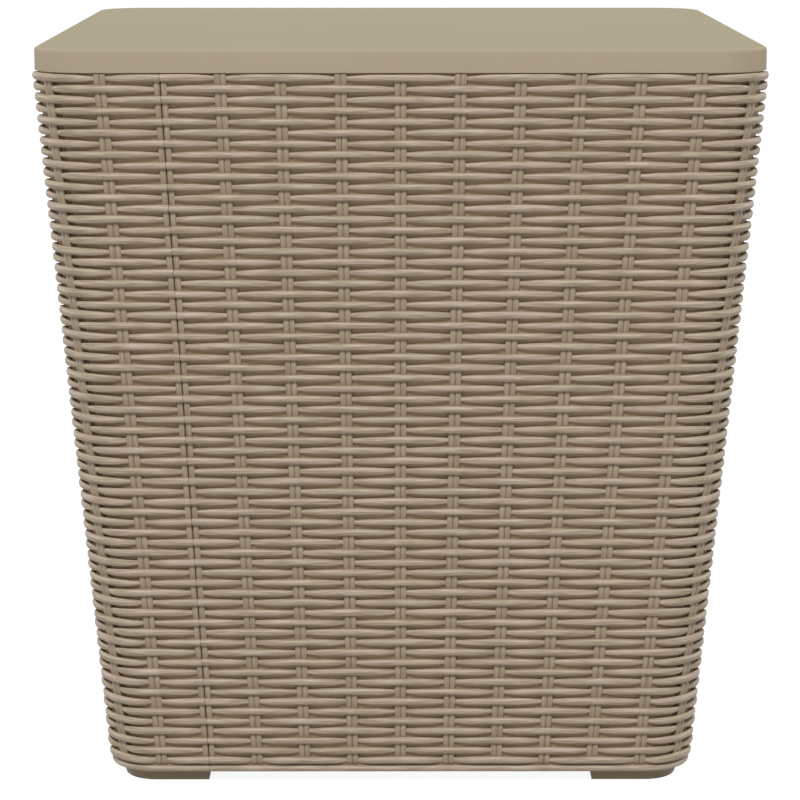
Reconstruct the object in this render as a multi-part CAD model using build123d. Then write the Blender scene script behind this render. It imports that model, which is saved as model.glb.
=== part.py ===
from build123d import *
from math import cos, radians, sin
import os

# Garden storage table in millimetres: four alike woven-look panels stand round a floor plate,
# and a plain top rests on them and lifts off. +Z is up, the front looks along -Y, and the
# origin is on the ground under the middle of the table.

# Whole table
table_height = 444.0
fit_gap = 0.35                # clearance where two mouldings slide together
bite = 1.2                    # depth that an added rib or rail sinks into the wall behind it

# Table top
top_side = 420.0
top_corner_radius = 30.0
top_rim_height = 13.5
top_edge_bevel = 0.9
top_wall = 2.8
top_rib_count = 4
top_rib_depth = 6.0
rib_thickness = 2.0
skirt_depth = 10.0            # reach of the locating skirt below the rim
skirt_thickness = 2.5
skirt_clearance = 1.0

# Side panels, measured over the crests of the weave
crest_overhang = 0.4          # reach of the weave past the top's side
wall_lean = 34.1              # how much narrower each side is at the wall's bottom
wall_corner_radius = 28.0
wall_thickness = 5.5          # from the crests to the inner face
corner_facets = 5             # flats that each strand takes round the corner
strand_rows = 67
strand_relief = 3.0           # depth of the groove between two rows
band_height = 5.9             # plain strand under the woven rows
band_inset = 2.4
band_edge = 0.9
seam_to_edge_top = 74.1       # from the seam to the side edge of its face
seam_to_edge_bottom = 61.5
rim_inset = 1.0
rim_thickness = 2.8
rim_reach = 9.0               # from the crests to the inner edge of the rim
flange_thickness = 2.5
flange_ledge = 2.0            # reach of the flange past the foot under it

# Tongue and channel at the seams
tongue_reach = 14.0
tongue_root = 12.0
tongue_thickness = 2.2
channel_mouth = 4.0
channel_wall = 2.0
channel_drop = 16.0           # the joint stops this far under the panel's top
channel_rise = 1.5            # and starts this far over the floor

# Feet, one under the corner of each panel
foot_height = 7.0
foot_inset = 6.5
foot_width = 12.0
foot_wall = 2.5

# Floor
floor_thickness = 3.0
floor_clearance = 0.5
floor_rib_count = 3
floor_rib_depth = 5.0
lug_place = 62.0
lug_width = 12.0
lug_reach = 2.4
lug_height = 5.0

# Heights and sizes that follow
top_half = top_side / 2
wall_top_half = top_half + crest_overhang
wall_bottom_half = wall_top_half - wall_lean
seam_top = wall_top_half - seam_to_edge_top
seam_bottom = wall_bottom_half - seam_to_edge_bottom
wall_bottom = foot_height
wall_top = table_height - top_rim_height
rim_under = wall_top - rim_thickness
flange_top = wall_bottom + flange_thickness
floor_top = flange_top + floor_thickness
band_top = wall_bottom + band_height
row_pitch = (wall_top - band_top) / strand_rows
skirt_half = wall_top_half - rim_reach - skirt_clearance
floor_half = wall_bottom_half - wall_thickness - floor_clearance
foot_outer_half = wall_bottom_half - foot_inset
foot_inner_half = foot_outer_half - foot_width
foot_inner_radius = wall_corner_radius - foot_width
floor_opening_half = foot_inner_half - flange_ledge
floor_opening_radius = foot_inner_radius - flange_ledge


def between(bottom_value, top_value, height):
    """Straight change of a size from the wall's bottom to its top."""
    share = (height - wall_bottom) / (wall_top - wall_bottom)
    return bottom_value + share * (top_value - bottom_value)


def half_width(height):
    return between(wall_bottom_half, wall_top_half, height)


def seam_place(height):
    return between(seam_bottom, seam_top, height)


def rounded_square(half, radius, height):
    return Plane.XY.offset(height) * RectangleRounded(2 * half, 2 * half, radius)


def leaning(outline, low, high):
    """Straight-sided solid between one outline at two heights."""
    return loft([outline(low), outline(high)], ruled=True)


def face_at(height, points):
    return Plane.XY.offset(height) * make_face(Polyline(*points, close=True))


def strand_section(height, inset):
    """Front and right faces with their corner, closed along the square's diagonal."""
    half = half_width(height) - inset
    radius = wall_corner_radius - inset
    centre = half - radius
    points = [(-half, -half)]
    for step in range(corner_facets + 1):
        angle = radians(90 * step / corner_facets - 90)
        points.append((centre + radius * cos(angle), -centre + radius * sin(angle)))
    points.append((half, half))
    return face_at(height, points)


def woven_block():
    """Leaning block with a plain band at its foot and one ridge per strand row above it."""
    sections = [
        strand_section(wall_bottom, band_inset),
        strand_section(band_top - band_edge, band_inset),
        strand_section(band_top, strand_relief),
    ]
    for row in range(strand_rows):
        crest = band_top + (row + 0.5) * row_pitch
        groove = crest + row_pitch / 2
        last = row + 1 == strand_rows
        sections.append(strand_section(crest, 0))
        sections.append(strand_section(groove, rim_inset if last else strand_relief))
    return loft(sections, ruled=True)


def panel_quarter(height):
    """Region of one panel: from its seam on the front face to the next seam on the right face."""
    near = -seam_place(height) + fit_gap / 2
    far = -seam_place(height) - fit_gap / 2
    return face_at(height, [(near, far), (top_side, far), (top_side, -top_side), (near, -top_side)])


def hollow(height):
    """Room inside the four panels at a height."""
    inner_radius = wall_corner_radius - wall_thickness
    return rounded_square(half_width(height) - wall_thickness, inner_radius, height)


def wall_shell():
    """One panel's wall with its rim at the top and its flange at the bottom."""
    wall = woven_block() - leaning(hollow, flange_top, rim_under)
    mouth = rounded_square(wall_top_half - rim_reach, wall_corner_radius - rim_reach, rim_under)
    wall -= extrude(mouth, rim_thickness)
    opening = rounded_square(floor_opening_half, floor_opening_radius, wall_bottom)
    wall -= extrude(opening, flange_thickness)
    return wall & leaning(panel_quarter, wall_bottom, wall_top)


def channel_outline(height):
    """Hook behind the wall beside the seam, open towards the seam."""
    seam = -seam_place(height)
    inner = -half_width(height) + wall_thickness
    lip_near = inner + tongue_thickness + 2 * fit_gap
    lip_far = lip_near + channel_wall
    start = seam + channel_mouth
    stop = seam + tongue_reach + fit_gap
    back = stop + channel_wall
    points = [
        (start, lip_near), (stop, lip_near), (stop, inner - bite),
        (back, inner - bite), (back, lip_far), (start, lip_far),
    ]
    return face_at(height, points)


def tongue_outline(height):
    """Tongue that reaches past the seam behind the neighbour, drawn at the front face's seam."""
    seam = -seam_place(height)
    root_end = seam - fit_gap / 2
    inner = -half_width(height) + wall_thickness
    near = inner + fit_gap
    far = near + tongue_thickness
    tip = seam + tongue_reach
    points = [
        (seam - tongue_root, inner - bite), (root_end, inner - bite), (root_end, near),
        (tip, near), (tip, far), (seam - tongue_root, far),
    ]
    return face_at(height, points)


def corner_region(start, low, thickness):
    """Block over the front right corner, from a distance along each of its two faces."""
    points = [(start, -start), (top_side, -start), (top_side, -top_side), (start, -top_side)]
    return extrude(face_at(low, points), thickness)


def foot():
    """Hollow foot under the corner, open below."""
    bar = extrude(rounded_square(foot_outer_half, wall_corner_radius, 0), foot_height)
    bar -= extrude(rounded_square(foot_inner_half, foot_inner_radius, 0), foot_height)
    bar &= corner_region(seam_bottom + fit_gap / 2, 0, foot_height)
    outer = rounded_square(foot_outer_half - foot_wall, wall_corner_radius - foot_wall, 0)
    inner = rounded_square(foot_inner_half + foot_wall, foot_inner_radius + foot_wall, 0)
    pocket = extrude(outer, foot_height) - extrude(inner, foot_height)
    pocket &= corner_region(seam_bottom + fit_gap / 2 + foot_wall, 0, foot_height)
    return bar - pocket


def lug(place):
    """Snap lug on the front wall that keeps the floor down."""
    low = floor_top + fit_gap
    inner = -half_width(low) + wall_thickness
    points = [(inner - bite, low), (inner + lug_reach, low), (inner - bite, low + lug_height)]
    wedge = extrude(Plane.YZ * make_face(Polyline(*points, close=True)), lug_width)
    return Pos(place - lug_width / 2, 0, 0) * wedge


def side_panel():
    joint_low = floor_top + channel_rise
    joint_high = wall_top - channel_drop
    panel = wall_shell()
    panel += leaning(channel_outline, joint_low, joint_high)
    panel += Rot(0, 0, 90) * leaning(tongue_outline, joint_low, joint_high)
    panel += foot()
    for place in (-lug_place, lug_place):
        panel += lug(place)
    return panel


def rib_grid(half, count, top, depth):
    """Crossed ribs hanging from a height, evenly spread over a square."""
    spacing = 2 * half / (count + 1)
    ribs = None
    for index in range(count):
        place = -half + (index + 1) * spacing
        for turn in (0, 90):
            rib = Pos(place, 0, top - depth / 2) * Box(rib_thickness, 2 * half, depth)
            rib = Rot(0, 0, turn) * rib
            ribs = rib if ribs is None else ribs + rib
    return ribs


def table_top():
    """Shell with a rim that rests on the panels, a skirt inside them and ribs between."""
    shell = extrude(rounded_square(top_half, top_corner_radius, wall_top), top_rim_height)
    shell = chamfer(shell.edges().group_by(Axis.Z)[-1], top_edge_bevel)
    under = top_rim_height - top_wall
    cavity_radius = top_corner_radius - top_wall
    shell -= extrude(rounded_square(top_half - top_wall, cavity_radius, wall_top), under)
    skirt_low = wall_top - skirt_depth
    skirt_radius = wall_corner_radius - rim_reach
    skirt_inner = skirt_half - skirt_thickness
    skirt_height = skirt_depth + under + bite
    skirt = extrude(rounded_square(skirt_half, skirt_radius, skirt_low), skirt_height)
    skirt -= extrude(rounded_square(skirt_inner, skirt_radius - skirt_thickness, skirt_low), skirt_height)
    rib_top = wall_top + under + bite
    ribs = rib_grid(skirt_half - skirt_thickness / 2, top_rib_count, rib_top, top_rib_depth + bite)
    return shell + skirt + ribs


def floor_panel():
    """Plate on the panels' flanges, stiffened by crossed ribs between them."""
    radius = wall_corner_radius - wall_thickness
    plate = extrude(rounded_square(floor_half, radius, flange_top), floor_thickness)
    rib_half = floor_opening_half - floor_clearance
    return plate + rib_grid(rib_half, floor_rib_count, flange_top + bite, floor_rib_depth + bite)


def main():
    panel = side_panel()
    names = ("front_panel", "right_panel", "back_panel", "left_panel")
    nodes = {name: Rot(0, 0, 90 * turn) * panel for turn, name in enumerate(names)}
    nodes["floor_panel"] = floor_panel()
    nodes["table_top"] = table_top()
    os.makedirs("parts", exist_ok=True)
    for name, solid in nodes.items():
        solid.label = name
        export_step(solid, f"parts/{name}.step")
        print(name, round(solid.volume), solid.is_valid)


main()
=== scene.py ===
"""Garden storage table: four woven-look resin panels round a floor plate, under a lift-off top.

Sizes are in millimetres and turned to metres where a mesh is made. +Z is up, the front face
looks along -Y, and the origin is on the ground under the middle of the table.
"""

import logging
import math
from dataclasses import dataclass, replace
from enum import Enum

import bpy
import numpy as np
from bpy.types import Material, Node, NodeSocket, NodeTree
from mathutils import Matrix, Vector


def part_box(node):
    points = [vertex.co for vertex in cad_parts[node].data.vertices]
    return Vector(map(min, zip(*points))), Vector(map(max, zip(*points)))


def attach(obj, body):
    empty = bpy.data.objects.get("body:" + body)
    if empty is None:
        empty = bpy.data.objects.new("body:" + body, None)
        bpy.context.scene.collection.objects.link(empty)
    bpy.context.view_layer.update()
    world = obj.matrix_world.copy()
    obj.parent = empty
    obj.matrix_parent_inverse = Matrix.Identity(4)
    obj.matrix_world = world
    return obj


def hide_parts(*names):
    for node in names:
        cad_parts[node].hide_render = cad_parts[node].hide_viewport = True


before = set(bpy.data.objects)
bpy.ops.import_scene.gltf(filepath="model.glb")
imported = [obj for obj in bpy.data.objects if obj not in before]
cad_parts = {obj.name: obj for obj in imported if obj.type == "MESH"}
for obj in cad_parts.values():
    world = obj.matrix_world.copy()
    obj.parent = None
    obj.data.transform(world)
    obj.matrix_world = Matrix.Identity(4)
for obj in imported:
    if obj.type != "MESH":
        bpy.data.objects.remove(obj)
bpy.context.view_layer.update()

LOG = logging.getLogger("storage_table")
MM = 0.001
QUARTER = math.pi / 2
TURN = 2 * math.pi
CREST_OVERHANG = 0.4  # reach of the wall's crests past the side of the top
POLYPROPYLENE_IOR = 1.49
Number = np.ndarray | float  # one value, or one for each point


class Side(Enum):
    """The four sides, with the quarter turns about Z that bring the front panel there."""

    FRONT = 0
    RIGHT = 1
    BACK = 2
    LEFT = 3

    @property
    def node(self) -> str:
        """Name of the side's panel in the frame."""
        return f"{self.name.lower()}_panel"


# Meshes


@dataclass
class Surface:
    """Points with faces of any number of corners, and what a material reads at each point."""

    points: np.ndarray  # places in millimetres, shape (n, 3)
    corners: np.ndarray  # point numbers of all faces, one face after the other
    sizes: np.ndarray  # number of corners of each face
    chart: np.ndarray  # length along and share around the strand, shape (n, 2)
    tone: np.ndarray  # number that tells one strand or rod from the next, shape (n,)
    front: np.ndarray  # share of being in front of a stake, shape (n,)
    paint: np.ndarray  # which of its piece's finishes each face has, shape (faces,)

    def turned(self, quarters: int) -> "Surface":
        """Turns the surface about Z.

        Args:
            quarters: number of quarter turns, anticlockwise seen from above.

        Returns:
            A surface with new points and all else alike.
        """
        cos, sin = math.cos(quarters * QUARTER), math.sin(quarters * QUARTER)
        spin = np.array([[cos, sin, 0.0], [-sin, cos, 0.0], [0.0, 0.0, 1.0]])
        return replace(self, points=self.points @ spin)


def joined(surfaces: list[Surface]) -> Surface:
    """One surface that holds several shells.

    Args:
        surfaces: the shells, which keep their own points.

    Returns:
        The shells with their point numbers shifted past each other.
    """
    counts = np.cumsum([0] + [len(part.points) for part in surfaces[:-1]])
    stacked = {name: np.concatenate([getattr(part, name) for part in surfaces])
               for name in ("points", "sizes", "chart", "tone", "front", "paint")}
    corners = [part.corners + first for part, first in zip(surfaces, counts)]
    return Surface(corners=np.concatenate(corners), **stacked)


def tubes(grid: np.ndarray, chart: np.ndarray, tone: np.ndarray,
          front: Number = 0.5, paint: np.ndarray | int = 0) -> Surface:
    """Closed tubes from a grid of rings, with a flat cap at both ends of each.

    Ring j of tube i is grid[i, j]. A quad joins points k and k + 1 of rings j and j + 1, and
    the last point of a ring joins its first.

    Args:
        grid: ring points, shape (tubes, rings, points per ring, 3). Seen from the tube's end
            towards its start, a ring's points run anticlockwise.
        chart: shape (tubes, rings, points per ring, 2).
        tone: shape (tubes,).
        front: one number, or shape (tubes, rings, points per ring).
        paint: number of the finish of all quads or of each. Caps have the first finish.

    Returns:
        All the tubes as one surface.
    """
    count, rings, around, _ = grid.shape
    number = np.arange(count * rings * around).reshape(count, rings, around)
    after = np.roll(number, -1, axis=2)
    quads = np.stack([number[:, :-1], after[:, :-1], after[:, 1:], number[:, 1:]], axis=-1)
    caps = np.concatenate([number[:, 0, ::-1], number[:, -1]])
    sizes = np.concatenate([np.full(quads.size // 4, 4), np.full(2 * count, around)])
    quad_paint = np.broadcast_to(paint, (count, rings - 1, around)).ravel()
    return Surface(
        grid.reshape(-1, 3),
        np.concatenate([quads.ravel(), caps.ravel()]),
        sizes,
        chart.reshape(-1, 2),
        np.repeat(tone, rings * around),
        np.broadcast_to(front, grid.shape[:3]).ravel(),
        np.concatenate([quad_paint, np.zeros(2 * count, int)]),
    )


def plain_tube(rings: np.ndarray, paint: np.ndarray | int = 0) -> Surface:
    """One closed tube with no strand chart, from rings of shape (rings, points per ring, 3)."""
    chart = np.zeros(rings.shape[:2] + (2,))
    return tubes(rings[None], chart[None], np.zeros(1), paint=paint)


def ring_angles(count: int) -> np.ndarray:
    """Angles of the points round a strand's section, from half a step up to a full turn."""
    return (np.arange(count) + 0.5) / count * TURN


def block(low: tuple[float, float, float], high: tuple[float, float, float]) -> Surface:
    """A box with its sides along the axes, from its lowest corner to its highest."""
    (left, near, under), (right, far, over) = low, high
    return plain_tube(np.array([
        [(left, near, z), (right, near, z), (right, far, z), (left, far, z)]
        for z in (under, over)]))


def rounded_square(half: float, radius: float, height: float, steps: int = 12) -> np.ndarray:
    """Points round a square with round corners, anticlockwise seen from above.

    Args:
        half: half of the square's side.
        radius: radius of its corners.
        height: height over the ground.
        steps: chords in each corner.

    Returns:
        Points in millimetres, shape (4 * (steps + 1), 3).
    """
    angle = np.linspace(0.0, QUARTER, steps + 1)
    angle = (angle[None, :] + QUARTER * np.arange(4)[:, None]).ravel()
    corner = np.repeat([[1, 1], [-1, 1], [-1, -1], [1, -1]], steps + 1, axis=0)
    flat = corner * (half - radius) + radius * np.stack([np.cos(angle), np.sin(angle)], axis=-1)
    return np.column_stack([flat, np.full(len(flat), height)])


def new_piece(name: str, surface: Surface, body: str,
              finishes: list[Material], crease: float = 40.0) -> bpy.types.Object:
    """Makes a mesh object at the origin and lets it ride on a body.

    Args:
        name: name of the object.
        surface: its points and faces in millimetres.
        body: body of the frame that it moves with.
        finishes: its materials, numbered from 0 as in the surface's paint.
        crease: angle between faces in degrees above which their edge stays sharp.

    Returns:
        The new object.
    """
    mesh = bpy.data.meshes.new(name)
    mesh.vertices.add(len(surface.points))
    mesh.vertices.foreach_set("co", (surface.points * MM).astype(np.float32).ravel())
    mesh.loops.add(len(surface.corners))
    mesh.loops.foreach_set("vertex_index", surface.corners.astype(np.int32))
    mesh.polygons.add(len(surface.sizes))
    starts = np.concatenate([[0], np.cumsum(surface.sizes)[:-1]])
    mesh.polygons.foreach_set("loop_start", starts.astype(np.int32))
    mesh.polygons.foreach_set("material_index", surface.paint.astype(np.int32))
    mesh.update(calc_edges=True)
    chart = mesh.uv_layers.new(name="strand_chart")
    chart.data.foreach_set("uv", surface.chart[surface.corners].astype(np.float32).ravel())
    for label, values in (("strand_tone", surface.tone), ("strand_front", surface.front)):
        attribute = mesh.attributes.new(label, "FLOAT", "POINT")
        attribute.data.foreach_set("value", values.astype(np.float32))
    mesh.polygons.foreach_set("use_smooth", np.ones(len(mesh.polygons), bool))
    mesh.set_sharp_from_angle(angle=math.radians(crease))
    for finish in finishes:
        mesh.materials.append(finish)
    mesh.validate()
    piece = bpy.data.objects.new(name, mesh)
    bpy.context.scene.collection.objects.link(piece)
    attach(piece, body)
    LOG.info("%s: %d faces on body %s", name, len(mesh.polygons), body)
    return piece


# Finishes


def linear(hex_colour: str) -> tuple[float, float, float, float]:
    """An sRGB colour, written as # and six hex digits, in linear light and with full alpha."""
    parts = [int(hex_colour[place:place + 2], 16) / 255 for place in (1, 3, 5)]
    return (*[part / 12.92 if part <= 0.04045 else ((part + 0.055) / 1.055) ** 2.4
              for part in parts], 1.0)


def add_node(tree: NodeTree, kind: str, inputs: dict | None = None,
             **settings: object) -> Node:
    """Adds a node with its settings, and fills its inputs with values or links.

    Args:
        tree: the node tree that gets the node.
        kind: Blender's name for the type of node.
        inputs: input name or number to a value, or to the socket that feeds it.
        **settings: the node's own properties.

    Returns:
        The new node.
    """
    node = tree.nodes.new(kind)
    for name, value in settings.items():
        setattr(node, name, value)
    for name, value in (inputs or {}).items():
        if isinstance(value, NodeSocket):
            tree.links.new(value, node.inputs[name])
        else:
            node.inputs[name].default_value = value
    return node


def new_material(name: str) -> tuple[Material, NodeTree]:
    """Makes a material with no nodes in it.

    Args:
        name: name of the material.

    Returns:
        The material and its node tree.
    """
    material = bpy.data.materials.new(name)
    material.use_nodes = True
    material.node_tree.nodes.clear()
    return material, material.node_tree


@dataclass(frozen=True)
class WovenResin:
    """Injection-moulded polypropylene with a rattan grain, satin and slightly uneven in tone.

    The mould's grain runs along each strand as fine lines, and the resin's two tones, one more
    pink and one more olive, drift along it. To the eye each strand is a peeled, faded cane with
    a soft light along its crest.
    """

    name: str
    olive: str = "#a99b81"  # the resin's two tones
    pink: str = "#b5a190"
    pale: str = "#ccbca8"  # the grain's raised and sunk lines
    dark: str = "#836f57"
    roughness: float = 0.52
    grain_length: float = 16.0  # of the grain's lines, in millimetres
    grain_width: float = 0.6  # coarser than the mould's, so that it shows
    grain_detail: float = 3.0
    grain_low: float = 0.40  # noise where the lines are fully dark, and fully pale
    grain_high: float = 0.60
    grain_share: float = 0.5  # of the grain's colours in the whole
    grain_depth: float = 0.12
    grain_strength: float = 0.6
    drift_length: float = 55.0  # of a patch of one tone
    drift_around: float = 1.5  # patches round a strand
    drift_low: float = 0.42  # noise where the tone is fully olive, and fully pink
    drift_high: float = 0.58
    crest_olive: float = 0.05  # how much the crests lean towards the olive tone
    girth: float = 12.0  # length round a strand

    def make(self) -> Material:
        """Builds the material on the strands' own chart, tone and front attributes.

        Returns:
            The new material.
        """
        material, tree = new_material(self.name)
        chart = add_node(tree, "ShaderNodeUVMap", uv_map="strand_chart")
        tone = add_node(tree, "ShaderNodeAttribute", attribute_name="strand_tone")
        place = add_node(tree, "ShaderNodeSeparateXYZ", {0: chart.outputs[0]})
        strand = add_node(tree, "ShaderNodeCombineXYZ", {
            0: place.outputs[0], 1: place.outputs[1], 2: tone.outputs["Fac"]})
        noises = []
        for along, across, detail in (
                (self.grain_length, self.girth / self.grain_width, self.grain_detail),
                (self.drift_length, self.drift_around, 1.0)):
            scaled = add_node(tree, "ShaderNodeVectorMath", {
                0: strand.outputs[0], 1: (1 / along, across, 1.0)}, operation="MULTIPLY")
            noises.append(add_node(tree, "ShaderNodeTexNoise", {
                "Vector": scaled.outputs[0], "Scale": 1.0, "Detail": detail}))
        grain, drift = noises
        front = add_node(tree, "ShaderNodeAttribute", attribute_name="strand_front")
        crest = add_node(tree, "ShaderNodeMath", {
            0: front.outputs["Fac"], 1: -self.crest_olive, 2: drift.outputs[0],
        }, operation="MULTIPLY_ADD")
        drift_step = add_node(tree, "ShaderNodeMapRange", {
            "Value": crest.outputs[0], "From Min": self.drift_low - self.crest_olive / 2,
            "From Max": self.drift_high - self.crest_olive / 2})
        body = add_node(tree, "ShaderNodeMix", {
            0: drift_step.outputs[0], 6: linear(self.olive), 7: linear(self.pink),
        }, data_type="RGBA")
        lines = add_node(tree, "ShaderNodeValToRGB", {0: grain.outputs[0]})
        sunk, raised = lines.color_ramp.elements
        sunk.position, sunk.color = self.grain_low, linear(self.dark)
        raised.position, raised.color = self.grain_high, linear(self.pale)
        blend = add_node(tree, "ShaderNodeMix", {
            0: self.grain_share, 6: body.outputs[2], 7: lines.outputs[0],
        }, data_type="RGBA")
        bump = add_node(tree, "ShaderNodeBump", {
            "Height": grain.outputs[0], "Strength": self.grain_strength,
            "Distance": self.grain_depth * MM})
        shader = add_node(tree, "ShaderNodeBsdfPrincipled", {
            "Base Color": blend.outputs[2], "Normal": bump.outputs[0],
            "Roughness": self.roughness, "IOR": POLYPROPYLENE_IOR})
        add_node(tree, "ShaderNodeOutputMaterial", {0: shader.outputs[0]})
        return material


@dataclass(frozen=True)
class MattResin:
    """Injection-moulded polypropylene with a fine spark-eroded grain.

    To the eye it is one even colour, matt, with a soft sheen and a faint cloudiness.
    """

    name: str
    colour: str  # the ends of its cloudy colour
    second: str
    roughness: float = 0.6
    sheen_level: float = 0.4  # 0.5 for bare plastic
    grain_size: float = 0.9  # coarser than the mould's, so that it shows
    grain_depth: float = 0.03
    grain_strength: float = 0.5
    cloud_size: float = 120.0
    detail: float = 2.0
    blend_low: float = 0.7  # sums of the two noises that give the first and the second colour
    blend_high: float = 1.3

    def make(self) -> Material:
        """Builds the material in Object coordinates.

        Returns:
            The new material.
        """
        material, tree = new_material(self.name)
        place = add_node(tree, "ShaderNodeTexCoord")
        cloud, grain = [add_node(tree, "ShaderNodeTexNoise", {
            "Vector": place.outputs["Object"], "Scale": 1 / (size * MM), "Detail": self.detail,
        }) for size in (self.cloud_size, self.grain_size)]
        both = add_node(tree, "ShaderNodeMath", {
            0: cloud.outputs[0], 1: grain.outputs[0]}, operation="ADD")
        step = add_node(tree, "ShaderNodeMapRange", {
            "Value": both.outputs[0], "From Min": self.blend_low, "From Max": self.blend_high})
        colour = add_node(tree, "ShaderNodeMix", {
            0: step.outputs[0], 6: linear(self.colour), 7: linear(self.second),
        }, data_type="RGBA")
        bump = add_node(tree, "ShaderNodeBump", {
            "Height": grain.outputs[0], "Strength": self.grain_strength,
            "Distance": self.grain_depth * MM})
        shader = add_node(tree, "ShaderNodeBsdfPrincipled", {
            "Base Color": colour.outputs[2], "Normal": bump.outputs[0],
            "Roughness": self.roughness, "IOR": POLYPROPYLENE_IOR,
            "Specular IOR Level": self.sheen_level})
        add_node(tree, "ShaderNodeOutputMaterial", {0: shader.outputs[0]})
        return material


# The leaning wall that everything on a panel follows


@dataclass
class WallForm:
    """Rounded square that leans outwards, with stakes spread evenly round it."""

    top_height: float
    top_half: float  # half width over the crests of the weave
    bottom_height: float = 7.0
    bottom_half: float = 176.3
    radius: float = 28.0  # of its corners over the crests, at every height
    seam_top: float = 136.3  # from the middle of a face to its seam, at the top
    seam_bottom: float = 114.8
    seam_stakes: int = 4  # stake pitches from the middle of a face to its seam
    half_stakes: int = 6  # and to the middle of its corner

    def rise(self, height: Number) -> Number:
        """Share of the wall's height, 0 at its bottom and 1 at its top."""
        return (height - self.bottom_height) / (self.top_height - self.bottom_height)

    def half(self, height: Number) -> Number:
        """Half width over the crests of the weave."""
        return self.bottom_half + self.rise(height) * (self.top_half - self.bottom_half)

    def flat(self, height: Number) -> Number:
        """Distance from the middle of a face to the start of its corner."""
        return self.half(height) - self.radius

    def seam(self, height: Number) -> Number:
        """Distance of a seam from the middle of its face."""
        return self.seam_bottom + self.rise(height) * (self.seam_top - self.seam_bottom)

    def along(self, stake: np.ndarray, height: np.ndarray) -> np.ndarray:
        """Distance along the wall from the middle of the front face to a stake.

        Stakes stand evenly as far as the last one before the corner. The last space fills what
        is left to the corner's middle, and past the corner the distances are mirrored.

        Args:
            stake: place in stakes, from -half_stakes to 3 * half_stakes.
            height: height over the ground.

        Returns:
            Distances over the crests of the weave.
        """
        middle = self.flat(height) + self.radius * QUARTER / 2
        pitch = self.seam(height) / self.seam_stakes
        past = stake > self.half_stakes
        near = np.where(past, 2 * self.half_stakes - stake, stake)
        even = self.half_stakes - 1
        rest = np.maximum(np.abs(near) - even, 0.0)
        distance = np.minimum(np.abs(near), even) * pitch + rest * (middle - even * pitch)
        distance = distance * np.sign(near)
        return np.where(past, 2 * middle - distance, distance)

    def place(self, stake: np.ndarray, height: np.ndarray, inset: np.ndarray,
              sideways: Number = 0.0) -> np.ndarray:
        """Points on or behind the wall of the front panel.

        Up to the flat's end the point lies on the front face, then on a quarter circle about
        the flat's end, and after that on the right face. The inset shortens the circle's radius
        and moves both flats inwards.

        Args:
            stake: place along the wall in stakes, 0 in the middle of the front face, 6 at the
                middle of the corner and 12 in the middle of the right face.
            height: height over the ground.
            inset: distance behind the crests of the weave.
            sideways: distance added along the wall.

        Returns:
            Points in millimetres, in the broadcast shape of the arguments and 3.
        """
        stake, height, inset, sideways = np.broadcast_arrays(stake, height, inset, sideways)
        flat = self.flat(height)
        along = self.along(stake, height) + sideways
        bend = self.radius * QUARTER
        angle = np.clip((along - flat) / self.radius, 0.0, QUARTER)
        reach = self.radius - inset
        x = np.minimum(along, flat) + reach * np.sin(angle)
        y = -flat + np.maximum(along - flat - bend, 0.0) - reach * np.cos(angle)
        return np.stack([x, y, height], axis=-1)

    def near_corner(self, stake: np.ndarray, reach: float) -> np.ndarray:
        """Weight of 1 at the corner's middle that fades out round it.

        It is the exponential of minus the fourth power of the distance over the reach.

        Args:
            stake: place in stakes.
            reach: distance in stakes at which a third is left.

        Returns:
            The weights.
        """
        return np.exp(-((stake - self.half_stakes) / reach) ** 4)


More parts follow.
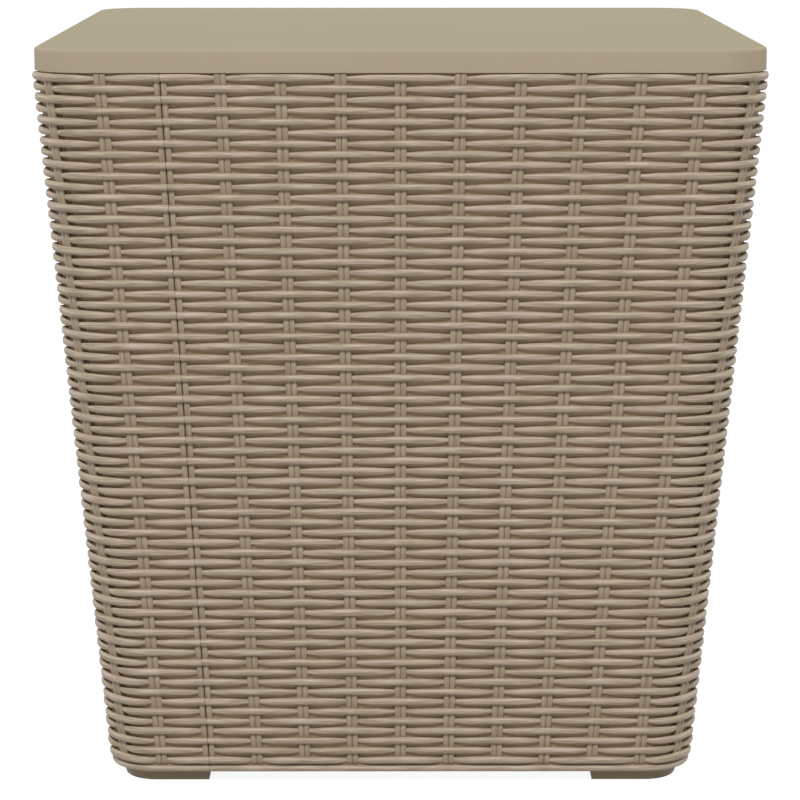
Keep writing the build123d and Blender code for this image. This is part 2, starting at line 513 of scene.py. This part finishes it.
@dataclass
class WovenPanel:
    """One side panel: strands, stakes and the moulding behind them, all drawn as the front one.

    An inset is a distance behind the crests of the frame's wall.
    """

    form: WallForm
    resin: Material
    # the strands' resin painted darker on the stakes, as painted shade between the strands
    stake_painted_shade: Material
    plain: Material  # of the moulding behind them, inside the box
    # the moulding's resin painted lighter and warmer on its outer face, as painted light in the
    # shaded gaps
    gap_painted_light: Material  # of its outer face, between the strands
    # painted dark brown, as painted shade in the deep pockets beside the corner's stake
    pocket_painted_shade: Material  # and of its pockets beside the corner's stake
    # the panels' resin painted darker and browner on the feet, as painted shade under the band
    foot_shade_resin: Material

    # Rows, and the plain band under them
    proud: float = 1.1  # how far the weave stands out past the frame's crests
    rows: int = 67
    row_lift: float = 0.45  # the top row's upper edge stands this far over the wall
    seam_gap: float = 0.22  # between the strands of two panels
    slot_gap: float = 0.5  # between their mouldings
    hidden_gap: float = 1.3  # from the seam to a strand that ends behind a stake there
    band_height: float = 5.0  # room for the band
    band_gap: float = 0.5  # of which over it
    band_lift: float = 0.5  # and under it
    band_inset: float = 1.4
    band_backing: float = 2.8  # from the band's crest to the moulding behind it

    # Strands
    strand_high: float = 4.35
    strand_low_share: float = 0.63  # of the height that is left behind a stake
    strand_deep: float = 4.0
    strand_thin: float = 2.2  # depth of a strand behind a stake
    dip: float = 3.1  # how far its crest sinks there
    dip_power: float = 6.0
    drop: float = 0.45  # how far its middle drops there
    drop_power: float = 4.0
    swell_power: float = 4.5
    corner_swell: float = 0.09  # how much thicker a strand is round the corner
    swell_reach: float = 0.9  # stakes over which that fades
    wander_rate: float = 0.9  # radians per stake of a strand's slow wander
    wander_spread: float = 0.3  # by how much that differs from row to row
    wander_start: float = 6.0  # and its starting angle
    sway: float = 0.14  # how far the middle wanders up and down
    row_unevenness: float = 0.05  # share by which rows differ in thickness
    unevenness: float = 0.03  # share by which a strand's own thickness wanders

    # Rods, two to a stake
    rod_width: float = 3.75
    rod_spacing: float = 3.55
    seam_spacing: float = 4.15  # the same at a seam, which runs between the rods
    rod_square: float = 2.3  # power of the rods' outline, 2 for an ellipse
    rod_deep: float = 2.6
    rod_inset: float = 1.9
    rod_dip: float = 1.0  # how far a rod sinks behind a strand
    rod_tuck: float = 1.2  # how far its foot leans in behind the band
    tuck_height: float = 2.5  # height over which it does
    rod_sink: float = 0.6  # how far its foot reaches below the band's room
    rod_stop: float = 0.3  # how far its top stays under the wall's top
    rod_rings: int = 3  # rings of a rod in each row

    # Moulding behind the weave
    groove_high: float = 0.40  # deepest this share of a strand's height over its middle
    groove_low: float = 0.42  # and shallowest this share under it
    backing_shallow: float = 2.2  # inset there, midway between two stakes
    stake_shallow: float = 4.6  # and at a stake
    backing_deep: float = 3.5  # inset where it is deepest, midway between two stakes
    stake_deep: float = 5.2  # and at a stake
    corner_backing: float = 4.7  # inset round the corner
    backing_reach: float = 0.78  # stakes over which that fades
    # reach of the painted shade in the corner's pockets
    pocket_shade_reach: float = 0.2  # stakes from the corner's middle to the end of its pockets
    inner_inset: float = 5.5
    deepest: float = 5.3  # no strand or rod reaches the inner face
    rim_inset: float = 2.3
    rim_edge: float = 0.3
    rim_thickness: float = 2.8
    rim_reach: float = 9.0
    flange_thickness: float = 2.5
    flange_reach: float = 20.5

    # Tongue, channel and lugs
    tongue_reach: float = 14.0
    tongue_root: float = 12.0
    tongue_thickness: float = 2.2
    channel_mouth: float = 4.0
    channel_wall: float = 2.0
    channel_low: float = 14.0
    channel_high: float = 414.5
    slide_gap: float = 0.35
    bite: float = 0.15  # depth that a rib sinks into the wall behind it
    lug_place: float = 62.0
    lug_width: float = 12.0
    lug_reach: float = 2.4
    lug_height: float = 5.0
    lug_low: float = 12.85

    # Foot
    foot_inset: float = 6.5
    foot_width: float = 12.0
    foot_wall: float = 2.5
    foot_radius: float = 22.0
    foot_lean: float = 0.8  # how far its ends lean in towards the ground
    foot_taper: float = 2.0  # and how far its outer face does
    foot_draft: float = 1.0  # how much its outer wall thins inside towards the ground
    foot_edge: float = 0.5
    foot_recess: float = 0.2  # how far the end walls stay behind its ends and the ground
    foot_steps: int = 12  # chords round its corner

    # Fineness
    stations: int = 8  # rings of a strand in each stake's pitch
    around: int = 12  # points round a strand
    crease: float = 60.0  # angle above which an edge of the weave stays sharp
    seed: int = 7

    @property
    def span(self) -> tuple[float, float]:
        """First and last stake place of the panel, with half the seam's gap left at each end."""
        gap, first = self.in_stakes(self.seam_gap / 2), -self.form.seam_stakes
        return first + gap, first + 2 * self.form.half_stakes - gap

    @property
    def columns(self) -> int:
        """Number of rings along a strand."""
        return 2 * self.form.half_stakes * self.stations + 1

    @property
    def band_top(self) -> float:
        """Height of the upper end of the band's room."""
        return self.form.bottom_height + self.band_height

    @property
    def rows_top(self) -> float:
        """Height of the top row's upper edge."""
        return self.form.top_height + self.row_lift

    @property
    def row_pitch(self) -> float:
        """Height of one woven row."""
        return (self.rows_top - self.band_top) / self.rows

    def in_stakes(self, distance: float) -> float:
        """A distance along the wall's top in stake pitches."""
        return distance / self.form.seam_top * self.form.seam_stakes

    def row_heights(self) -> np.ndarray:
        """Heights of the strands' centres, from the top row down."""
        return self.rows_top - (np.arange(self.rows) + 0.5) * self.row_pitch

    def strands(self) -> Surface:
        """The woven strands, each passing over every other stake.

        A strand's share of being in front is (1 + cos(pi * (stake - first))) / 2, where first
        is 0 and 1 in turn from the top row down. Its depth shrinks with that share. By powers of
        what is left of the share its height shrinks, its crest dips inwards and its middle drops.

        Returns:
            All the strands as one surface.
        """
        rng = np.random.default_rng(self.seed)
        first = (np.arange(self.rows) % 2)[:, None, None]
        start, end = self.span
        cut = first * self.in_stakes(self.hidden_gap - self.seam_gap / 2)
        way = np.linspace(0.0, 1.0, self.columns)[None, :, None]
        stake = start + cut + way * (end - start - 2 * cut)
        share = (1 + np.cos(math.pi * (stake - first))) / 2
        rate, begin, uneven = rng.uniform(-1, 1, (self.rows, 3, 1, 1)).swapaxes(0, 1)
        wave = np.sin(stake * (self.wander_rate + self.wander_spread * rate)
                      + self.wander_start * begin)
        swell = 1 - (1 - self.strand_low_share) * (1 - share) ** self.swell_power
        swell = swell + self.corner_swell * self.form.near_corner(stake, self.swell_reach)
        high = self.strand_high / 2 * swell * (
            1 + self.row_unevenness * uneven + self.unevenness * wave)
        deep = (self.strand_thin + share * (self.strand_deep - self.strand_thin)) / 2
        crest = self.dip * (1 - share) ** self.dip_power
        centre = self.row_heights()[:, None, None] + self.sway * wave
        centre = centre - self.drop * (1 - share) ** self.drop_power
        turn = ring_angles(self.around)
        inset = np.minimum(crest + deep + deep * np.cos(turn), self.deepest)
        grid = self.form.place(stake, centre + high * np.sin(turn), inset - self.proud)
        along = self.form.along(stake, centre) + 0 * turn
        chart = np.stack([along, turn / TURN + 0 * along], axis=-1)
        return tubes(grid, chart, rng.uniform(0, 100, self.rows), share + 0 * turn)

    def band(self) -> Surface:
        """The plain strand under the rows: a flattened tube with no stake in front.

        Returns:
            The band as a surface.
        """
        stake = np.linspace(*self.span, self.columns)[None, :, None]
        turn = ring_angles(self.around)
        half = (self.band_height - self.band_gap - self.band_lift) / 2
        centre = self.form.bottom_height + self.band_lift + half
        height = centre + half * np.sin(turn)
        deep = self.strand_deep / 2
        inset = self.band_inset + deep + deep * np.cos(turn)
        grid = self.form.place(stake, height, inset - self.proud)
        along = self.form.along(stake, height)
        chart = np.stack([along, turn / TURN + 0 * along], axis=-1)
        return tubes(grid, chart, np.array([50.0]))

    def rods(self) -> Surface:
        """The stakes, two rods each, that bulge between the strands that pass over them.

        A rod's crest lies rod_inset behind the weave's crests, and sinks by rod_dip times
        (1 + cos(pi * (row - stake))) / 2, so most where a strand passes over it. Its outline is
        a squared ellipse: half the width and half the depth times a power of sine and cosine.

        Returns:
            All the rods as one surface.
        """
        rng = np.random.default_rng(self.seed + 1)
        first = -self.form.seam_stakes
        last = first + 2 * self.form.half_stakes
        stake = np.repeat(np.arange(first, last + 1), 2)[1:-1, None, None]
        side = np.tile([-0.5, 0.5], last - first + 1)[1:-1, None, None]
        low = self.band_top - self.rod_sink
        high = self.form.top_height - self.rod_stop
        height = np.linspace(low, high, self.rod_rings * self.rows)[None, :, None]
        tuck = self.rod_tuck * np.clip(1 - (height - low) / self.tuck_height, 0.0, 1.0)
        row = (self.rows_top - height) / self.row_pitch - 0.5
        hidden = (1 + np.cos(math.pi * (row - stake))) / 2
        turn = ring_angles(self.around)
        at_seam = (stake == first) | (stake == last)
        middle = side * np.where(at_seam, self.seam_spacing, self.rod_spacing)
        across, back = [np.sign(part) * np.abs(part) ** (2 / self.rod_square)
                        for part in (np.sin(turn), np.cos(turn))]
        deep = self.rod_deep / 2
        inset = self.rod_inset + tuck + self.rod_dip * hidden + deep + deep * back
        inset = np.minimum(inset, self.deepest) - self.proud
        grid = self.form.place(stake, height, inset, middle - self.rod_width / 2 * across)
        chart = np.stack([height + 0 * grid[..., 0], turn / TURN + 0 * grid[..., 0]], axis=-1)
        return tubes(grid[:, :, ::-1], chart[:, :, ::-1], rng.uniform(0, 100, len(stake)))

    def moulding(self) -> Surface:
        """The wall behind the weave, with its rim at the top and its flange at the bottom.

        A closed profile of inset and height is carried along the wall. Its outer face is a saw
        edge that leans back behind each strand, from its lower edge to its upper one. By the
        squared cosine of pi * stake the saw is deeper at the stakes than between them, and round
        the corner it is blended into one inset.

        Returns:
            The moulding, with its outer face in the resin painted lighter as painted light, and its
            corner pockets painted dark as painted shade.
        """
        low, high = self.form.bottom_height, self.form.top_height
        flange_top = low + self.flange_thickness
        rim_under = high - self.rim_thickness
        front = self.band_inset + self.band_backing - self.proud
        below = np.array([
            (self.inner_inset, rim_under), (self.inner_inset, flange_top),
            (self.flange_reach, flange_top), (self.flange_reach, low),
            (front, low), (front, self.band_top),
        ])
        above = np.array([
            (self.rim_inset, high - self.rim_edge), (self.rim_inset, high),
            (self.rim_reach, high), (self.rim_reach, rim_under),
        ])
        stake = np.linspace(*self.slot_span(), self.columns)[:, None]
        wave = np.cos(math.pi * stake) ** 2
        saw = np.concatenate([
            self.backing_shallow + (self.stake_shallow - self.backing_shallow) * wave,
            self.backing_deep + (self.stake_deep - self.backing_deep) * wave,
        ], axis=1)
        corner = self.form.near_corner(stake, self.backing_reach)
        saw = saw + (self.corner_backing - saw) * corner
        ends = np.array([-self.groove_low, self.groove_high]) * self.strand_high
        saw_height = (self.row_heights()[::-1, None] + ends).ravel()
        height = np.concatenate([below[:, 1], saw_height, above[:, 1]])
        inset = np.concatenate([
            below[:, 0] + 0 * stake, np.tile(saw, self.rows) - self.proud,
            above[:, 0] + 0 * stake,
        ], axis=1)
        point = np.arange(len(height))
        outer = (point >= len(below) - 1) & (point < len(height) - len(above))
        middle = (stake[:-1] + stake[1:]) / 2
        # faces beside the corner's middle get the pockets' painted shade
        pockets = np.abs(middle - self.form.half_stakes) < self.pocket_shade_reach
        paint = outer.astype(int) * (1 + pockets)
        rings = self.form.place(stake, height, inset)[:, ::-1]
        # With the rings turned round, a quad's number moves on by one
        return plain_tube(rings, np.roll(paint[:, ::-1], -1, axis=1))

    def slot_span(self) -> tuple[float, float]:
        """First and last stake place of the moulding, which leaves the seam's slot open."""
        cut = self.in_stakes((self.slot_gap - self.seam_gap) / 2)
        return self.span[0] + cut, self.span[1] - cut

    def leaning(self, outline: list[tuple[float, float]], low: float, high: float) -> Surface:
        """A prism that leans with the wall.

        Args:
            outline: corners as (distance past the seam, distance behind the inner face), in
                anticlockwise order seen from above.
            low: height of its underside.
            high: height of its top.

        Returns:
            The prism, drawn at the front face's seam.
        """
        height = np.array([[low], [high]])
        past, behind = np.array(outline, float).T
        x = past - self.form.seam(height)
        y = behind - self.form.half(height) + self.inner_inset
        return plain_tube(np.stack([x, y, height + 0 * x], axis=-1))

    def joint(self) -> Surface:
        """The channel beside the panel's own seam, and the tongue that its other end reaches out.

        The tongue lies behind the neighbour's wall, in the neighbour's channel.

        Returns:
            Both as one surface.
        """
        near = self.slide_gap
        far = near + self.tongue_thickness
        lip = far + self.slide_gap
        stop = self.tongue_reach + self.slide_gap
        channel = [
            (self.channel_mouth, lip), (stop, lip), (stop, -self.bite),
            (stop + self.channel_wall, -self.bite),
            (stop + self.channel_wall, lip + self.channel_wall),
            (self.channel_mouth, lip + self.channel_wall),
        ]
        end = -self.slide_gap / 2
        tongue = [
            (-self.tongue_root, -self.bite), (end, -self.bite), (end, near),
            (self.tongue_reach, near), (self.tongue_reach, far), (-self.tongue_root, far),
        ]
        return joined([
            self.leaning(channel, self.channel_low, self.channel_high),
            self.leaning(tongue, self.channel_low, self.channel_high).turned(1),
        ])

    def lugs(self) -> Surface:
        """Two wedges on the inner face that hold the floor plate down.

        Returns:
            Both wedges as one surface.
        """
        inner = self.inner_inset - self.form.half(self.lug_low)
        y, z = np.array([
            (inner - self.bite, self.lug_low), (inner + self.lug_reach, self.lug_low),
            (inner - self.bite, self.lug_low + self.lug_height),
        ]).T
        wedges = []
        for middle in (-self.lug_place, self.lug_place):
            x = middle + self.lug_width * np.array([[-0.5], [0.5]])
            wedges.append(plain_tube(np.stack(np.broadcast_arrays(x, y, z), axis=-1)))
        return joined(wedges)

    def foot(self) -> Surface:
        """Hollow foot under the panel's corner: a channel open below, closed at both ends.

        A section of inset and height runs straight from the panel's seam, round a quarter
        circle and straight on to the seam's place on the next face.

        Returns:
            The foot as a surface.
        """
        high = self.form.bottom_height
        wall, inner, edge = self.foot_wall, self.foot_width, self.foot_edge
        section = [
            (0.0, high + edge), (self.foot_taper, edge), (self.foot_taper + edge, 0.0),
            (wall + self.foot_draft, 0.0), (wall, high - edge), (inner - wall, high - edge),
            (inner - wall, 0.0), (inner - edge, 0.0), (inner, edge), (inner, high + edge),
        ]
        half = self.form.bottom_half - self.foot_inset
        flat = half - self.foot_radius
        start = self.form.seam_bottom + self.slide_gap / 2
        inset, height = np.array(section).T[:, None, :]
        turn = np.linspace(0.0, QUARTER, self.foot_steps + 1)
        angle = np.concatenate([[0.0], turn, [QUARTER]])[:, None]
        first = (np.arange(len(angle)) == 0)[:, None]
        straight = start - flat + self.foot_lean * (1 - height / high)
        radius = self.foot_radius - inset
        x = flat + first * straight + radius * np.sin(angle)
        y = -flat - first[::-1] * straight - radius * np.cos(angle)
        channel = plain_tube(np.stack([x, y, height + 0 * x], axis=-1))
        recess = self.foot_lean + self.foot_recess
        near, far = half - wall + edge, half - inner + wall - edge
        end, back = start + recess, start + recess + wall
        return joined([
            channel,
            block((end, -near, recess), (back, -far, high)),
            block((far, -back, recess), (near, -end, high)),
        ])

    def build(self, side: Side) -> None:
        """Makes the panel's pieces on one side, in place of the frame's panel.

        Args:
            side: the side that the panel stands on.
        """
        name = side.name.lower()
        woven = joined([self.strands(), self.band()]).turned(side.value)
        weave = new_piece(f"{name}_strands", woven, "box", [self.resin],
                          self.crease)
        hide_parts(side.node)
        stakes = self.rods().turned(side.value)
        new_piece(f"{name}_stakes", stakes, "box", [self.stake_painted_shade],
                  self.crease)
        parts = joined([self.moulding(), self.joint(), self.lugs()])
        new_piece(f"{name}_moulding", parts.turned(side.value), "box",
                  [self.plain, self.gap_painted_light, self.pocket_painted_shade])
        foot = self.foot().turned(side.value)
        new_piece(f"{name}_foot", foot, "box", [self.foot_shade_resin])


@dataclass
class TableTop:
    """The lift-off top: a shell with a rim, a locating skirt and crossed ribs underneath."""

    # the plate's copy of the resin, painted darker and greener as painted shade against the
    # stronger light from above
    finish: Material  # of its upper face and its underside
    # the same resin painted lighter and pinker, as painted light on the rim
    rim_painted_lighter: Material  # of its rounded edge, rim and skirt
    half: float
    low: float  # height of the rim's underside
    high: float  # and of the upper face
    corner: float = 30.0
    edge: float = 2.0
    edge_steps: int = 6
    wall: float = 2.8
    shadow_gap: float = 0.25  # step at the rim's foot that lets a dark line show under it
    ledge: float = 1.6  # width of that step
    skirt_half: float = 200.4
    skirt_corner: float = 19.0
    skirt_wall: float = 2.5
    skirt_drop: float = 10.0
    ribs: int = 4
    rib_depth: float = 6.0
    rib_wall: float = 2.0
    rib_bite: float = 1.0  # depth that the ribs sink into the plate

    def shell(self) -> Surface:
        """Rim, plate and skirt as one closed shell, drawn from the upper face round to below.

        Each outline is a rounded square with its half side, its corner radius and its height.
        The edge is a quarter circle: inset by 1 - sin and lowered by 1 - cos of its angle.

        Returns:
            The shell, its caps being the upper face and the plate's underside.
        """
        turn = np.linspace(0.0, QUARTER, self.edge_steps + 1)
        insets = self.edge * (1 - np.sin(turn))
        heights = self.high - self.edge * (1 - np.cos(turn))
        loops = [(self.half - inset, self.corner - inset, height)
                 for inset, height in zip(insets, heights)]
        step = self.half - self.ledge, self.corner - self.ledge
        inside = self.half - self.wall, self.corner - self.wall
        skirt = self.skirt_half, self.skirt_corner
        skirt_inside = self.skirt_half - self.skirt_wall, self.skirt_corner - self.skirt_wall
        under, foot = self.high - self.wall, self.low - self.skirt_drop
        loops += [
            (self.half, self.corner, self.low + self.shadow_gap),
            (*step, self.low + self.shadow_gap), (*step, self.low), (*inside, self.low),
            (*inside, under), (*skirt, under), (*skirt, foot), (*skirt_inside, foot),
            (*skirt_inside, under),
        ]
        rings = np.stack([rounded_square(*loop) for loop in loops])
        return plain_tube(rings[::-1], 1)

    def rib_grid(self) -> Surface:
        """Crossed ribs under the plate, evenly spread inside the skirt.

        Returns:
            All the ribs as one surface.
        """
        reach = self.skirt_half - self.skirt_wall / 2
        spacing = 2 * reach / (self.ribs + 1)
        top = self.high - self.wall + self.rib_bite
        bars = []
        for index in range(self.ribs):
            place = -reach + (index + 1) * spacing
            low = (place - self.rib_wall / 2, -reach, top - self.rib_depth - self.rib_bite)
            bar = block(low, (place + self.rib_wall / 2, reach, top))
            bars += [bar, bar.turned(1)]
        return joined(bars)

    def build(self) -> None:
        """Makes the top in place of the frame's top."""
        shape = joined([self.shell(), self.rib_grid()])
        top = new_piece("table_top_shell", shape, "top",
                        [self.finish, self.rim_painted_lighter])
        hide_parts("table_top")


# Studio


@dataclass(frozen=True)
class Lamp:
    """A square soft lamp, with its place and side in millimetres."""

    name: str
    place: tuple[float, float, float]
    side: float
    watts: float

    def build(self, target_height: float) -> None:
        """Hangs the lamp and turns it to a point over the origin.

        Args:
            target_height: height of that point in millimetres.
        """
        data = bpy.data.lights.new(self.name, "AREA")
        data.size = self.side * MM
        data.energy = self.watts
        lamp = bpy.data.objects.new(self.name, data)
        x, y, z = self.place
        lamp.location = (x * MM, y * MM, z * MM)
        away = math.atan2(math.hypot(x, y), z - target_height)
        lamp.rotation_euler = (away, 0.0, math.atan2(x, -y))
        bpy.context.scene.collection.objects.link(lamp)


@dataclass
class Studio:
    """Floor, light and camera.

    The camera stands straight before the table and a little above its top, and looks down on
    it. The photograph was taken level with a shifted lens; a little more distance than it had
    keeps the table's upright lines near to its.
    """

    top_height: float
    top_half: float
    eye_before: float = 1590.0  # camera before the top's front edge
    eye_above: float = 112.0  # and over its top
    eye_left: float = 3.3
    tilt_down: float = 10.33  # degrees
    lens: float = 126.6
    sensor: float = 36.0
    shift: float = -0.05
    sight: float = 200.0  # how far the camera sees, in metres
    floor_side: float = 60000.0
    floor_colour: str = "#b4b4b4"
    floor_glow: float = 1.84  # glow that only the rays of the background see
    glow_share: float = 0.5  # and its share there, so that the table's shadow stays
    sky_light: float = 0.36
    lamps: tuple[Lamp, ...] = (
        Lamp("key_lamp", (-600.0, -6000.0, 6000.0), 2000.0, 445.0),
        Lamp("right_lamp", (3600.0, 1500.0, 1100.0), 1500.0, 32.0),
        Lamp("left_lamp", (-3600.0, 1500.0, 1100.0), 1500.0, 32.0),
        Lamp("back_lamp", (0.0, 3000.0, 2200.0), 1500.0, 25.0),
    )

    def camera(self) -> None:
        """Places the camera at the photograph's point of view."""
        data = bpy.data.cameras.new("camera")
        data.lens = self.lens
        data.sensor_width = self.sensor
        data.shift_y = self.shift
        data.clip_end = self.sight
        eye = bpy.data.objects.new("camera", data)
        before = self.top_half + self.eye_before
        eye.location = (-self.eye_left * MM, -before * MM, (self.top_height + self.eye_above) * MM)
        turn = math.atan2(self.eye_left, before)
        eye.rotation_euler = (math.radians(90 - self.tilt_down), 0.0, -turn)
        bpy.context.scene.collection.objects.link(eye)
        bpy.context.scene.camera = eye

    def background_rays(self, tree: NodeTree) -> NodeSocket:
        """Adds nodes that tell the rays that show the background from those that give light.

        Args:
            tree: the node tree that gets them.

        Returns:
            A socket that is 1 for the camera's rays and for mirrored and passed on ones.
        """
        path = add_node(tree, "ShaderNodeLightPath")
        total = path.outputs["Is Camera Ray"]
        for kind in ("Is Glossy Ray", "Is Transmission Ray"):
            total = add_node(tree, "ShaderNodeMath", {0: total, 1: path.outputs[kind]},
                             operation="ADD", use_clamp=True).outputs[0]
        return total

    def floor(self) -> None:
        """A pale floor that keeps the table's shadow but looks almost white."""
        material, tree = new_material("pale_floor")
        paint = add_node(tree, "ShaderNodeBsdfDiffuse", {"Color": linear(self.floor_colour)})
        glow = add_node(tree, "ShaderNodeEmission", {"Strength": self.floor_glow})
        share = add_node(tree, "ShaderNodeMath", {
            0: self.background_rays(tree), 1: self.glow_share}, operation="MULTIPLY")
        mix = add_node(tree, "ShaderNodeMixShader", {
            0: share.outputs[0], 1: paint.outputs[0], 2: glow.outputs[0]})
        add_node(tree, "ShaderNodeOutputMaterial", {0: mix.outputs[0]})
        half = self.floor_side / 2 * MM
        mesh = bpy.data.meshes.new("floor")
        corners = [(-half, -half, 0), (half, -half, 0), (half, half, 0), (-half, half, 0)]
        mesh.from_pydata(corners, [], [(0, 1, 2, 3)])
        mesh.materials.append(material)
        floor = bpy.data.objects.new("floor", mesh)
        bpy.context.scene.collection.objects.link(floor)

    def world(self) -> None:
        """Even white light from all round, and plain white where the camera sees past the floor."""
        world = bpy.data.worlds.new("studio")
        world.use_nodes = True
        tree = world.node_tree
        tree.nodes.clear()
        strength = add_node(tree, "ShaderNodeMapRange", {
            "Value": self.background_rays(tree), "To Min": self.sky_light, "To Max": 1.0})
        back = add_node(tree, "ShaderNodeBackground", {
            "Color": linear("#ffffff"), "Strength": strength.outputs[0]})
        add_node(tree, "ShaderNodeOutputWorld", {0: back.outputs[0]})
        bpy.context.scene.world = world

    def build(self) -> None:
        """Sets up the whole studio."""
        self.camera()
        self.world()
        self.floor()
        for lamp in self.lamps:
            lamp.build(self.top_height / 2)
        bpy.context.scene.view_settings.view_transform = "Standard"


def main() -> None:
    """Builds every piece on the frame and the studio round it."""
    logging.basicConfig(level=logging.INFO, format="%(message)s")
    top_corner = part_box("table_top")[1]
    top_half, top_height = top_corner.x / MM, top_corner.z / MM
    wall_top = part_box("front_panel")[1].z / MM
    form = WallForm(top_height=wall_top, top_half=top_half + CREST_OVERHANG)
    # The strands catch the most light; the stakes between them are their resin painted a shade
    # darker, as painted shade
    woven = WovenResin("woven_look_polypropylene").make()
    stakes = WovenResin("woven_look_polypropylene_stakes", "#a0917a", "#a7947f", "#b3a38b",
                        "#897862").make()
    # Plain walls inside; on the outer face between the strands the same resin is painted lighter
    # and warmer, as painted light in the shaded gaps
    plain = MattResin("moulded_polypropylene", "#b7a389", "#ae9a80").make()
    gaps_painted_light = MattResin("moulded_polypropylene_gaps_painted_light", "#c0a887", "#b49c7b").make()
    # The pockets beside the corners are the resin painted deep brown, as painted shade
    pockets = MattResin("moulded_polypropylene_pockets_painted_shade", "#85745a", "#7a6a52").make()
    # The feet are the panels' resin painted darker and browner, as painted shade under the band
    feet_painted_shade = MattResin("moulded_polypropylene_feet_painted_shade", "#96856f", "#8e7e68").make()
    for side in Side:
        WovenPanel(form, woven, stakes, plain, gaps_painted_light, pockets, feet_painted_shade).build(side)
    # The top is greyer and greener than the weave; plate and rim are one resin, painted darker and
    # greener on the plate as painted shade and lighter and pinker on the rim as painted light, for
    # the light falling more on the plate
    smooth = MattResin("fine_grain_polypropylene", "#a99f85", "#a69c82", roughness=0.75,
                       sheen_level=0.05).make()
    rim = MattResin("fine_grain_polypropylene_rim_painted_lighter", "#b1a28a", "#ae9f88", roughness=0.7,
                    sheen_level=0.2).make()
    TableTop(smooth, rim, top_half, wall_top, top_height).build()
    floor = bpy.data.objects["floor_panel"].data
    floor.materials.clear()
    floor.materials.append(plain)
    Studio(top_height, top_half).build()


if __name__ == "__main__":
    main()
